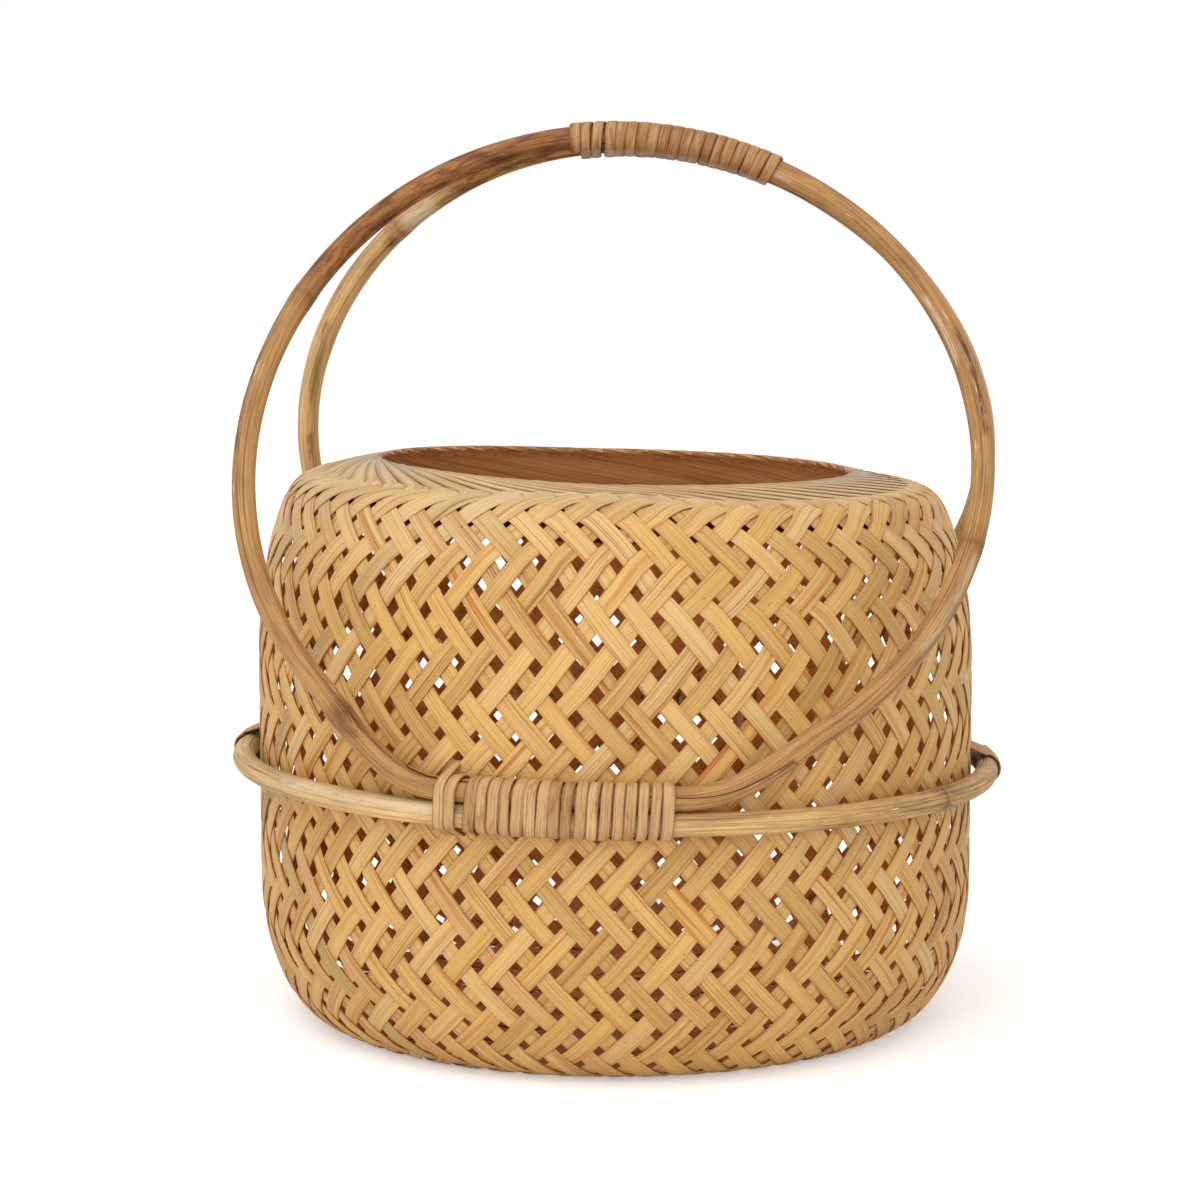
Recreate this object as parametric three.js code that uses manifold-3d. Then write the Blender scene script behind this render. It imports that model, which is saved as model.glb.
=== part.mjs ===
// Woven bamboo basket with a hoop handle.
// Millimetres, +Z up, the front towards -Y, the origin at the middle of the base on the floor.
// An azimuth is an angle round the body from the front, positive towards +X.
import * as THREE from 'three';
import { mergeVertices } from 'three/addons/utils/BufferGeometryUtils.js';
import Module from 'manifold-3d';

const radians = THREE.MathUtils.degToRad;

// Woven body: a flat base, a rounded foot, an upright wall and a shoulder that turns in to the mouth
const BODY_RADIUS = 142.3;
const FOOT_RUN = 29;
const FOOT_RISE = 56;
const WALL_TOP = 136;
const SHOULDER_RADIUS = 132.5;
const SHOULDER_HEIGHT = 202;
const CORNER_RADIUS = 118;
const CORNER_HEIGHT = 214.5;
const SHOULDER_TILT = radians(21.7);
const MOUTH_RADIUS = 92.5;
const MOUTH_HEIGHT = 220;
const WALL_THICKNESS = 2.4;
const COLLAR_THICKNESS = 4.2;
const COLLAR_DEPTH = 32;
const BODY_LEAN = radians(1.1);

// Weave: level bands of strips that lean to the left and to the right by turns, ten of them up the wall
// and two round the shoulder, and strips that only lean to the left round the mouth
const STRIPS_ROUND = 60;
const FIRST_BAND = 24.6;
const WALL_BANDS = 10;
const TOP_BAND_DROP = 9.4;
const BAND_LEAN = 1;
const MOUTH_LEAN = 2;
const STRIP_RELIEF = 1.1;

// Canes: one girdle hoop and two handle rings, each with its two ends cut to a long scarf
const CANE_DIAMETER = 9;
const HOOP_HEIGHT = 101.5;
const FRONT_RING_HALF_WIDTH = 138.1;
const FRONT_RING_HALF_HEIGHT = 138.7;
const FRONT_RING_SAG = 1.5;
const FRONT_RING_SHIFT = 1.4;
const REAR_RING_HALF_WIDTH = 143.3;
const REAR_RING_HALF_HEIGHT = 137.8;
const REAR_RING_SAG = 6.8;
const REAR_RING_SHIFT = 4.9;
const RING_SWAY = 2;
const HANDLE_YAW = radians(-4);
const SCARF_LENGTH = 150;
const SCARF_TIP = 1.2;
const SCARF_GAP = 0.4;
const BEND_LENGTH = 56;

// Flat cane strands, each wound in one length
const STRAND_WIDTH = 3.8;
const STRAND_THICKNESS = 0.9;
const TURN_PITCH = 4.35;
const SEAT_GAP = 0.3;
const BINDING_TURNS = 17;
const BINDING_AZIMUTH = radians(-9.2);
const HITCH_TURNS = 2;
const HITCH_SPACE = 3.2;
const GRIP_TURNS = 17;
const GRIP_SPACE = 1.2;
const GRIP_MIDDLE = 24;
const LASHING_TURNS = 6;
const RIGHT_LASHING_AZIMUTH = radians(89);
const LEFT_LASHING_AZIMUTH = radians(-97);
const SLOT_STAND_OFF = 3.3;
const SLOT_HEIGHT = 3.8;
const SLOT_MARGIN = 0.8;
const SLOT_DEPTH = 9;
const CORNER_BEND = 1;

// Facets
const CANE_STEPS = 60;
const ARC_STEPS = 6;
const FOOT_STEPS = 24;
const SHOULDER_STEPS = 12;
const INSIDE_STEPS = 4;
const LOW_ROWS = 4;
const CORNER_STEPS = 2;
const TANGENT_STEP = 0.002;
const MERGE_DISTANCE = 1e-4;

// Sizes that follow from the ones above
const CANE_RADIUS = CANE_DIAMETER / 2;
const WALL_INSIDE = BODY_RADIUS - WALL_THICKNESS;
const HOOP_RADIUS = BODY_RADIUS + SEAT_GAP + STRAND_THICKNESS + SEAT_GAP + CANE_RADIUS;
const CANE_SPACING = CANE_DIAMETER + SEAT_GAP;
const SEAT_HEIGHT = HOOP_HEIGHT + CANE_SPACING;
const FACET_SAG = (CANE_RADIUS + STRAND_THICKNESS) * (1 - Math.cos(Math.PI / 2 / ARC_STEPS));
const WINDING_RADIUS = CANE_RADIUS + SEAT_GAP + STRAND_THICKNESS / 2 + FACET_SAG;
const HITCH_LENGTH = HITCH_TURNS * TURN_PITCH;
const BINDING_LENGTH = HITCH_LENGTH + HITCH_SPACE + BINDING_TURNS * TURN_PITCH;
const GRIP_LENGTH = HITCH_LENGTH + GRIP_SPACE + GRIP_TURNS * TURN_PITCH;
const LASHING_LENGTH = LASHING_TURNS * TURN_PITCH;

const smooth = (x) => THREE.MathUtils.smoothstep(x, 0, 1);

const bamboo = new THREE.MeshStandardMaterial({ color: '#d9b36c', roughness: 0.55, metalness: 0 });
const cane = new THREE.MeshStandardMaterial({ color: '#b5854f', roughness: 0.4, metalness: 0 });
const splitCane = new THREE.MeshStandardMaterial({ color: '#c9a674', roughness: 0.5, metalness: 0 });

// The basket settled to one side as it was woven: above the foot its +X side is lower
function leaned(x, z) {
  return z - x * Math.tan(BODY_LEAN) * smooth(z / HOOP_HEIGHT);
}

// A point at a distance round the body at the hoop's radius, a radius and a height
function roundBody(distance, radius, height) {
  const azimuth = distance / HOOP_RADIUS;
  const x = radius * Math.sin(azimuth);
  return new THREE.Vector3(x, -radius * Math.cos(azimuth), leaned(x, height));
}

function meshOf(name, points, faces, look) {
  const geometry = new THREE.BufferGeometry();
  const numbers = points.flatMap((p) => [p.x, p.y, p.z]);
  geometry.setAttribute('position', new THREE.Float32BufferAttribute(numbers, 3));
  geometry.setIndex(faces.flat());
  geometry.computeVertexNormals();
  const mesh = new THREE.Mesh(geometry, look);
  mesh.name = name;
  return mesh;
}

// A closed tube through sections that all have the same number of points, with flat ends
function loft(name, sections, look) {
  const sides = sections[0].length;
  const last = (sections.length - 1) * sides;
  const faces = [];
  for (let start = 0; start < last; start += sides) {
    for (let k = 0; k < sides; k += 1) {
      const a = start + k;
      const b = start + ((k + 1) % sides);
      faces.push([a, b + sides, b], [a, a + sides, b + sides]);
    }
  }
  for (let k = 1; k < sides - 1; k += 1) {
    faces.push([0, k, k + 1], [last, last + k + 1, last + k]);
  }
  return meshOf(name, sections.flat(), faces, look);
}

// The outline of the body from the middle of its base to the mouth edge: x is radius, y is height
function bodyOutline(footSteps, shoulderSteps) {
  const flat = BODY_RADIUS - FOOT_RUN;
  const outline = [new THREE.Vector2(0, 0)];
  for (let i = 0; i <= footSteps; i += 1) {
    const a = (i / footSteps) * (Math.PI / 2);
    outline.push(new THREE.Vector2(flat + FOOT_RUN * Math.sin(a), FOOT_RISE * (1 - Math.cos(a))));
  }
  const turnIn = new THREE.Vector2(-Math.sin(SHOULDER_TILT), Math.cos(SHOULDER_TILT));
  const rise = (SHOULDER_HEIGHT - WALL_TOP) / 3;
  const wallEnd = new THREE.Vector2(BODY_RADIUS, WALL_TOP);
  const shoulder = new THREE.Vector2(SHOULDER_RADIUS, SHOULDER_HEIGHT);
  const corner = new THREE.Vector2(CORNER_RADIUS, CORNER_HEIGHT);
  const mouthEdge = new THREE.Vector2(MOUTH_RADIUS, MOUTH_HEIGHT);
  const upperWall = new THREE.CubicBezierCurve(
    wallEnd,
    new THREE.Vector2(BODY_RADIUS, WALL_TOP + rise),
    shoulder.clone().addScaledVector(turnIn, -rise),
    shoulder,
  );
  const shoulderTurn = new THREE.CubicBezierCurve(
    shoulder,
    shoulder.clone().addScaledVector(turnIn, (CORNER_HEIGHT - SHOULDER_HEIGHT) * 0.75),
    corner.clone().lerp(mouthEdge, -0.25),
    corner,
  );
  outline.push(...upperWall.getPoints(shoulderSteps));
  outline.push(...shoulderTurn.getPoints(shoulderSteps).slice(1), mouthEdge);
  return outline;
}

// The direction of a line of points at one of them
function directionAt(line, i) {
  return line[Math.min(i + 1, line.length - 1)].clone().sub(line[i - 1]).normalize();
}

// The point of the outline at a height
function outlineAt(outline, height) {
  let i = 2;
  while (i < outline.length - 1 && outline[i].y < height) {
    i += 1;
  }
  const share = (height - outline[i - 1].y) / (outline[i].y - outline[i - 1].y);
  return outline[i - 1].clone().lerp(outline[i], share);
}

// The level rows of the weave from the edge of the flat base to the mouth. Its strips lean between one
// row and the next, which is turned by that many strips
function weaveRows() {
  const rows = [];
  let turn = 0;
  const slope = Math.acos(1 - FIRST_BAND / FOOT_RISE);
  for (let i = 0; i < LOW_ROWS; i += 1) {
    const height = FOOT_RISE * (1 - Math.cos((slope * i) / LOW_ROWS));
    rows.push({ height, turn, relief: (STRIP_RELIEF * i) / LOW_ROWS });
  }
  const lastBand = SHOULDER_HEIGHT - TOP_BAND_DROP;
  for (let i = 0; i < WALL_BANDS; i += 1) {
    const height = THREE.MathUtils.lerp(FIRST_BAND, lastBand, i / WALL_BANDS);
    rows.push({ height, turn, relief: STRIP_RELIEF });
    turn += i % 2 ? BAND_LEAN : -BAND_LEAN;
  }
  for (const [height, lean] of [
    [lastBand, -BAND_LEAN / 2],
    [SHOULDER_HEIGHT, -BAND_LEAN / 2],
    [(SHOULDER_HEIGHT + CORNER_HEIGHT) / 2, BAND_LEAN],
    [CORNER_HEIGHT, -MOUTH_LEAN],
    [(CORNER_HEIGHT + MOUTH_HEIGHT) / 2, -MOUTH_LEAN],
  ]) {
    rows.push({ height, turn, relief: STRIP_RELIEF });
    turn += lean;
  }
  rows.push({ height: MOUTH_HEIGHT, turn, relief: 0 });
  return rows;
}

// The woven body's shell. Outside, every other column of points lies in the valley between two strips.
// Inside, the shell is plain and lies a wall thickness within the outline, or a collar's thickness
// within it round the mouth, where the strips are turned in
function bodyShell() {
  const outline = bodyOutline(FOOT_STEPS, SHOULDER_STEPS);
  const points = [];
  const faces = [];
  const addRow = (at, turn, columns, valley) => {
    for (let c = 0; c < columns; c += 1) {
      const azimuth = (2 * Math.PI * (turn + (c * STRIPS_ROUND) / columns)) / STRIPS_ROUND;
      const { x: radius, y: height } = at.clone().addScaledVector(valley, c % 2);
      const x = radius * Math.sin(azimuth);
      points.push(new THREE.Vector3(x, -radius * Math.cos(azimuth), leaned(x, height)));
    }
  };
  const rows = weaveRows();
  const line = rows.map((row) => outlineAt(outline, row.height));
  const columns = 2 * STRIPS_ROUND;
  rows.forEach((row, i) => {
    const along = i > 0 ? directionAt(line, i) : new THREE.Vector2(1, 0);
    const valley = new THREE.Vector2(-along.y, along.x).multiplyScalar(row.relief);
    addRow(line[i], row.turn, columns, valley);
  });
  for (let i = 0; i < rows.length - 1; i += 1) {
    for (let c = 0; c < columns; c += 1) {
      const [a, b] = [i * columns + c, i * columns + ((c + 1) % columns)];
      faces.push([a, b, b + columns], [a, b + columns, a + columns]);
    }
  }
  const mouth = (rows.length - 1) * columns;
  const inside = bodyOutline(INSIDE_STEPS, INSIDE_STEPS);
  const first = points.length;
  for (let i = inside.length - 1; i > 0; i -= 1) {
    const along = directionAt(inside, i);
    const inCollar = inside[i].y > WALL_TOP && inside[i].x < MOUTH_RADIUS + COLLAR_DEPTH;
    const depth = inCollar ? COLLAR_THICKNESS : WALL_THICKNESS;
    const at = inside[i].clone().addScaledVector(new THREE.Vector2(-along.y, along.x), depth);
    addRow(at, rows.at(-1).turn, STRIPS_ROUND, new THREE.Vector2());
  }
  const last = points.length - STRIPS_ROUND;
  for (let c = 0; c < STRIPS_ROUND; c += 1) {
    const next = (c + 1) % STRIPS_ROUND;
    const [a, b, d] = [mouth + 2 * c, mouth + 2 * c + 1, mouth + 2 * next];
    faces.push([a, b, first + c], [b, first + next, first + c], [b, d, first + next]);
    for (let row = first; row < last; row += STRIPS_ROUND) {
      faces.push([row + c, row + next, row + next + STRIPS_ROUND]);
      faces.push([row + c, row + next + STRIPS_ROUND, row + c + STRIPS_ROUND]);
    }
    faces.push([last + c, last + next, points.length + 1]);
    faces.push([2 * c + 1, 2 * c, points.length], [2 * next, 2 * c + 1, points.length]);
  }
  points.push(new THREE.Vector3(0, 0, 0), new THREE.Vector3(0, 0, WALL_THICKNESS));
  return meshOf('body_shell', points, faces, bamboo).geometry;
}

// A slot through the wall for the turns of a strand, along the hoop from one distance to another
function wallSlot(from, to, height) {
  const box = new THREE.BoxGeometry(to - from + 2 * SLOT_MARGIN, SLOT_DEPTH, SLOT_HEIGHT);
  const middle = roundBody((from + to) / 2, BODY_RADIUS - WALL_THICKNESS / 2, height);
  box.rotateZ((from + to) / 2 / HOOP_RADIUS);
  box.translate(middle.x, middle.y, middle.z);
  return box;
}

function toManifold(wasm, geometry) {
  const bare = geometry.clone();
  bare.deleteAttribute('normal');
  bare.deleteAttribute('uv');
  const merged = mergeVertices(bare, MERGE_DISTANCE);
  return new wasm.Manifold(new wasm.Mesh({
    numProp: 3,
    vertProperties: new Float32Array(merged.getAttribute('position').array),
    triVerts: new Uint32Array(merged.getIndex().array),
  }));
}

function fromManifold(name, body, look) {
  const mesh = body.getMesh();
  const geometry = new THREE.BufferGeometry();
  geometry.setAttribute('position', new THREE.BufferAttribute(mesh.vertProperties, 3));
  geometry.setIndex(new THREE.BufferAttribute(mesh.triVerts, 1));
  geometry.computeVertexNormals();
  const result = new THREE.Mesh(geometry, look);
  result.name = name;
  return result;
}

// The section of a cane: a circle in eight points, cut flat below and above. x is across the cane's
// bend and y is towards the inside of the bend
function caneSection(low, high) {
  const points = [];
  const from = Math.asin(low / CANE_RADIUS);
  const to = Math.asin(high / CANE_RADIUS);
  for (const share of [0, 1 / 3, 2 / 3, 1]) {
    const a = from + (to - from) * share;
    points.push(new THREE.Vector2(CANE_RADIUS * Math.cos(a), CANE_RADIUS * Math.sin(a)));
  }
  return [...points, ...points.toReversed().map((p) => new THREE.Vector2(-p.x, p.y))];
}

// A cane bent to a closed path, given as a function of the turn from 0 to 2 pi. Its two ends overlap
// round turn 0 in a scarf: the first end keeps the inner side of the bend and the last the outer
function scarfedCane(name, path, halfTurn) {
  const full = CANE_RADIUS * Math.cos(Math.PI / 8);
  const reach = CANE_RADIUS - SCARF_TIP;
  const cut = (turn) => reach - ((turn + halfTurn) / (2 * halfTurn)) * (2 * reach - SCARF_GAP);
  const middle = path(0).add(path(Math.PI)).multiplyScalar(0.5);
  const sections = [];
  const carry = (from, to, lowAt, highAt) => {
    const steps = Math.ceil(((to - from) / (2 * Math.PI)) * CANE_STEPS);
    for (let i = 0; i <= steps; i += 1) {
      const turn = THREE.MathUtils.lerp(from, to, i / steps);
      const centre = path(turn);
      const along = path(turn + TANGENT_STEP).sub(path(turn - TANGENT_STEP)).normalize();
      const inward = middle.clone().sub(centre);
      inward.addScaledVector(along, -inward.dot(along)).normalize();
      const across = new THREE.Vector3().crossVectors(along, inward);
      sections.push(caneSection(lowAt(turn), highAt(turn)).map((p) => centre.clone()
        .addScaledVector(across, p.x)
        .addScaledVector(inward, p.y)));
    }
  };
  const stub = (2 * Math.PI) / CANE_STEPS;
  const end = 2 * Math.PI;
  carry(-halfTurn, halfTurn, cut, () => full);
  carry(halfTurn + stub, end - halfTurn - stub, () => -full, () => full);
  carry(end - halfTurn, end + halfTurn, () => -full, (turn) => cut(turn - end) - SCARF_GAP);
  return loft(name, sections, cane);
}

// The handle rings: hand-bent ovals that lean towards each other from the hoop, side 1 in front and
// -1 behind. Each sags at its sides and sways a little to one side at its top and bottom. Their tops
// are drawn together under the grip and their bottoms are drawn on to the hoop
function ringPath(side, halfWidth, halfHeight, sag, shift) {
  const apart = side * (CANE_SPACING / 2);
  const lean = Math.asin((HOOP_RADIUS - CANE_SPACING / 2) / (2 * halfHeight));
  return (turn) => {
    const across = halfWidth * Math.sin(turn) - RING_SWAY * Math.cos(2 * turn);
    const up = halfHeight * (1 - Math.cos(turn)) - sag * (1 - Math.cos(2 * turn));
    const deep = side * (HOOP_RADIUS - up * Math.sin(lean));
    const fromGrip = Math.abs(across + shift - GRIP_MIDDLE) - GRIP_LENGTH / 2;
    const open = Math.cos(turn) > 0 ? 1 : smooth(fromGrip / BEND_LENGTH);
    const point = new THREE.Vector3(across, -apart - (deep - apart) * open, 0);
    point.applyAxisAngle(new THREE.Vector3(0, 0, 1), HANDLE_YAW);
    point.x += shift;
    const radius = Math.hypot(point.x, point.y);
    const azimuth = Math.atan2(side * point.x, -side * point.y);
    const fromBinding = Math.abs(azimuth - BINDING_AZIMUTH) * HOOP_RADIUS;
    const free = smooth((Math.hypot(fromBinding, up) - BINDING_LENGTH / 2) / BEND_LENGTH);
    const scale = (HOOP_RADIUS + (radius - HOOP_RADIUS) * free) / radius;
    point.x *= scale;
    point.y *= scale;
    const seat = SEAT_HEIGHT - point.x * Math.tan(BODY_LEAN) * (1 - free);
    point.z = seat + up * Math.cos(lean) * free;
    return point;
  };
}

// The line that a tight strand follows round pins, anticlockwise: on each pin from the normal of the
// straight before it to the normal of the straight after it. x is outwards and y is up
function belt(pins) {
  const normalTo = (p, q) => {
    const between = new THREE.Vector2(q.x - p.x, q.y - p.y);
    return between.angle() - Math.acos((p.r - q.r) / between.length());
  };
  const line = [];
  pins.forEach((pin, i) => {
    const before = pins[(i + pins.length - 1) % pins.length];
    const after = pins[(i + 1) % pins.length];
    const from = normalTo(before, pin);
    const sweep = THREE.MathUtils.euclideanModulo(normalTo(pin, after) - from, 2 * Math.PI);
    for (let k = 0; k <= pin.steps; k += 1) {
      const a = from + (sweep * k) / pin.steps;
      const out = new THREE.Vector2(Math.cos(a), Math.sin(a));
      line.push({ at: new THREE.Vector2(pin.x, pin.y).addScaledVector(out, pin.r), out });
    }
  });
  return line;
}

// One unbroken flat strand. Each run has its number of turns, the length it takes up along the
// winding and its pins at a distance; place puts a distance, an outward and an upward size in space
function windStrand(name, runs, start, place) {
  const sections = [];
  const steps = [];
  let from = start;
  for (const run of runs) {
    for (let turn = 0; turn < run.turns; turn += 1) {
      const line = belt(run.pins(from + run.length / run.turns / 2));
      line.forEach((spot, i) => {
        const distance = from + ((run.length / run.turns) * i) / line.length;
        sections.push([[-1, -1], [1, -1], [1, 1], [-1, 1]].map(([w, t]) => {
          const x = spot.at.x + (t * STRAND_THICKNESS * spot.out.x) / 2;
          const y = spot.at.y + (t * STRAND_THICKNESS * spot.out.y) / 2;
          return place(distance + (w * STRAND_WIDTH) / 2, x, y);
        }));
        steps.push(line.length);
      });
      from += run.length / run.turns;
    }
  }
  let gap = Infinity;
  for (let i = 0; i < sections.length; i += 1) {
    for (let j = i + Math.floor(steps[i] / 2); j < sections.length; j += 1) {
      for (const p of sections[i]) {
        for (const q of sections[j]) {
          gap = Math.min(gap, p.distanceTo(q));
        }
      }
    }
  }
  console.log(`${name}: ${sections.length} sections, least gap to itself ${gap.toFixed(2)} mm`);
  return loft(name, sections, splitCane);
}

const seatPin = { x: HOOP_RADIUS, y: SEAT_HEIGHT, r: WINDING_RADIUS, steps: ARC_STEPS };
const hoopPin = { x: HOOP_RADIUS, y: HOOP_HEIGHT, r: WINDING_RADIUS, steps: ARC_STEPS };
const slotX = WALL_INSIDE - SEAT_GAP - STRAND_THICKNESS / 2 + CORNER_BEND;
const lowSlot = HOOP_HEIGHT - CANE_RADIUS - SLOT_STAND_OFF;
const hoopSlot = HOOP_HEIGHT + CANE_RADIUS + SLOT_STAND_OFF;
const seatSlot = SEAT_HEIGHT + CANE_RADIUS + SLOT_STAND_OFF;
const slotPin = (y) => ({ x: slotX, y, r: CORNER_BEND, steps: CORNER_STEPS });

// The strand that binds a ring to the hoop: hitch turns that go through the wall, then close turns
function ringBinding(name, azimuth) {
  const hitch = [seatPin, slotPin(seatSlot), slotPin(lowSlot), hoopPin];
  const close = [seatPin, hoopPin];
  const runs = [
    { turns: HITCH_TURNS, length: HITCH_LENGTH, pins: () => hitch },
    { turns: 1, length: TURN_PITCH + HITCH_SPACE, pins: () => close },
    { turns: BINDING_TURNS - 1, length: (BINDING_TURNS - 1) * TURN_PITCH, pins: () => close },
  ];
  return windStrand(name, runs, azimuth * HOOP_RADIUS - BINDING_LENGTH / 2, roundBody);
}

// The strand that ties the hoop to the wall
function sideLashing(name, azimuth) {
  const pins = [hoopPin, slotPin(hoopSlot), slotPin(lowSlot)];
  const runs = [{ turns: LASHING_TURNS, length: LASHING_LENGTH, pins: () => pins }];
  return windStrand(name, runs, azimuth * HOOP_RADIUS - LASHING_LENGTH / 2, roundBody);
}

// The strand round both rings at the top. Distance runs along the middle of the pair from its apex
function gripBinding(name, frontRing, rearRing) {
  const apex = (FRONT_RING_SHIFT + REAR_RING_SHIFT) / 2 - RING_SWAY;
  const frameAt = (distance) => {
    const turn = Math.PI - distance / FRONT_RING_HALF_WIDTH;
    const middleAt = (t) => frontRing(t).add(rearRing(t)).multiplyScalar(0.5);
    const along = middleAt(turn - TANGENT_STEP).sub(middleAt(turn + TANGENT_STEP)).normalize();
    const out = new THREE.Vector3().crossVectors(along, new THREE.Vector3(0, 0, 1)).normalize();
    const up = new THREE.Vector3().crossVectors(out, along);
    return { turn, middle: middleAt(turn), out, up };
  };
  const place = (distance, x, y) => {
    const frame = frameAt(distance);
    return frame.middle.clone().addScaledVector(frame.out, x).addScaledVector(frame.up, y);
  };
  const pins = (distance) => {
    const frame = frameAt(distance);
    const half = frontRing(frame.turn).sub(frame.middle);
    const x = half.dot(frame.out);
    const y = half.dot(frame.up);
    const pin = { r: WINDING_RADIUS, steps: ARC_STEPS };
    return [{ ...pin, x, y }, { ...pin, x: -x, y: -y }];
  };
  const runs = [
    { turns: HITCH_TURNS, length: HITCH_LENGTH, pins },
    { turns: 1, length: TURN_PITCH + GRIP_SPACE, pins },
    { turns: GRIP_TURNS - 1, length: (GRIP_TURNS - 1) * TURN_PITCH, pins },
  ];
  return windStrand(name, runs, GRIP_MIDDLE - apex - GRIP_LENGTH / 2, place);
}

// The body with its slots cut
async function wovenBody() {
  const wasm = await Module();
  wasm.setup();
  let body = toManifold(wasm, bodyShell());
  const cutSlots = (azimuth, whole, length, upper) => {
    const from = azimuth * HOOP_RADIUS - (whole + STRAND_WIDTH) / 2;
    for (const height of [upper + CORNER_BEND / 2, lowSlot - CORNER_BEND / 2]) {
      const slot = wallSlot(from, from + length + STRAND_WIDTH, height);
      body = body.subtract(toManifold(wasm, slot));
    }
  };
  for (const azimuth of [BINDING_AZIMUTH, BINDING_AZIMUTH + Math.PI]) {
    cutSlots(azimuth, BINDING_LENGTH, HITCH_LENGTH, seatSlot);
  }
  for (const azimuth of [RIGHT_LASHING_AZIMUTH, LEFT_LASHING_AZIMUTH]) {
    cutSlots(azimuth, LASHING_LENGTH, LASHING_LENGTH, hoopSlot);
  }
  return fromManifold('woven_body', body, bamboo);
}

const frontRing = ringPath(
  1,
  FRONT_RING_HALF_WIDTH,
  FRONT_RING_HALF_HEIGHT,
  FRONT_RING_SAG,
  FRONT_RING_SHIFT,
);
const rearRing = ringPath(
  -1,
  REAR_RING_HALF_WIDTH,
  REAR_RING_HALF_HEIGHT,
  REAR_RING_SAG,
  REAR_RING_SHIFT,
);
const hoop = (turn) => roundBody((turn + Math.PI) * HOOP_RADIUS, HOOP_RADIUS, HOOP_HEIGHT);

const basket = new THREE.Group();
basket.add(
  await wovenBody(),
  scarfedCane('girdle_hoop', hoop, SCARF_LENGTH / 2 / HOOP_RADIUS),
  scarfedCane('front_handle_ring', frontRing, SCARF_LENGTH / 2 / FRONT_RING_HALF_WIDTH),
  scarfedCane('rear_handle_ring', rearRing, SCARF_LENGTH / 2 / REAR_RING_HALF_WIDTH),
  gripBinding('grip_binding', frontRing, rearRing),
  ringBinding('front_binding', BINDING_AZIMUTH),
  ringBinding('rear_binding', BINDING_AZIMUTH + Math.PI),
  sideLashing('left_lashing', LEFT_LASHING_AZIMUTH),
  sideLashing('right_lashing', RIGHT_LASHING_AZIMUTH),
);

export default basket;
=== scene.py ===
"""A round bamboo basket with a cane hoop and a hoop handle: its woven strips, canes and wound strands."""

import math

import bpy
import numpy as np
from bpy.props import FloatProperty, FloatVectorProperty, PointerProperty
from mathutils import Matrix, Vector


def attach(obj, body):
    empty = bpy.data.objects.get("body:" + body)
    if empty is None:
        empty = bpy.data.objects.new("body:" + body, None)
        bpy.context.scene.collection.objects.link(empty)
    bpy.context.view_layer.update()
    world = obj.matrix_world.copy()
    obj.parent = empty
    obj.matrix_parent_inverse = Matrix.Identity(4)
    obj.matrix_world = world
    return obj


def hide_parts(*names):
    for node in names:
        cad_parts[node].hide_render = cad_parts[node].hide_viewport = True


bl_info = {
    "name": "Bamboo basket",
    "version": (1, 0, 0),
    "blender": (4, 5, 0),
    "location": "3D View > Sidebar > Basket",
    "description": "Weaves a round bamboo basket with a hoop handle round its packed CAD frame",
    "category": "Add Mesh",
}

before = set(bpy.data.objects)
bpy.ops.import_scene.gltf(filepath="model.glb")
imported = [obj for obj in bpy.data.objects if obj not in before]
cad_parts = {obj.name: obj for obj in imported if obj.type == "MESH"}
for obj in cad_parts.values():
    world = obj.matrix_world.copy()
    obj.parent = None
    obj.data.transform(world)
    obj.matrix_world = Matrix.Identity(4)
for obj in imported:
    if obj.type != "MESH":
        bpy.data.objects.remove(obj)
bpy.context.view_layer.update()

MM = 0.001
LENGTH = {"unit": "LENGTH", "subtype": "DISTANCE"}
COLOUR = {"subtype": "COLOR", "size": 4}

# The frame's sizes in millimetres and its angles in radians, as in the CAD source
BODY_RADIUS = 142.3
FOOT_RUN = 29.0
FOOT_RISE = 56.0
WALL_TOP = 136.0
SHOULDER = np.array([132.5, 202.0])
CORNER = np.array([118.0, 214.5])
SHOULDER_TILT = math.radians(21.7)
MOUTH = np.array([92.5, 220.0])
WALL_THICKNESS = 2.4
COLLAR_DEPTH = 32.0
BODY_LEAN = math.radians(1.1)
CANE_RADIUS = 4.5
HOOP_HEIGHT = 101.5
HANDLE_YAW = math.radians(-4)
FRONT_HALF_WIDTH, FRONT_HALF_HEIGHT, FRONT_SAG, FRONT_SHIFT = 138.1, 138.7, 1.5, 1.4
REAR_HALF_WIDTH, REAR_HALF_HEIGHT, REAR_SAG, REAR_SHIFT = 143.3, 137.8, 6.8, 4.9
RING_SWAY = 2.0
SCARF_LENGTH = 150.0
SCARF_TIP = 1.2
SCARF_GAP = 0.4
BEND_LENGTH = 56.0
TURN_PITCH = 4.35
SEAT_GAP = 0.3
STRAND_ROOM = 0.9
BINDING_TURNS = 17
BINDING_AZIMUTH = math.radians(-9.2)
HITCH_TURNS = 2
HITCH_SPACE = 3.2
GRIP_TURNS = 17
GRIP_SPACE = 1.2
GRIP_MIDDLE = 24.0
LASHING_TURNS = 6
RIGHT_LASHING_AZIMUTH = math.radians(89)
LEFT_LASHING_AZIMUTH = math.radians(-97)
SLOT_STAND_OFF = 3.3
CORNER_BEND = 1.0
HOOP_RADIUS = BODY_RADIUS + 2 * SEAT_GAP + STRAND_ROOM + CANE_RADIUS
CANE_SPACING = 2 * CANE_RADIUS + SEAT_GAP
SEAT_HEIGHT = HOOP_HEIGHT + CANE_SPACING
WINDING_RADIUS = CANE_RADIUS + SEAT_GAP + STRAND_ROOM / 2 + 0.05
HITCH_LENGTH = HITCH_TURNS * TURN_PITCH
BINDING_LENGTH = HITCH_LENGTH + HITCH_SPACE + BINDING_TURNS * TURN_PITCH
GRIP_LENGTH = HITCH_LENGTH + GRIP_SPACE + GRIP_TURNS * TURN_PITCH
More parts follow.
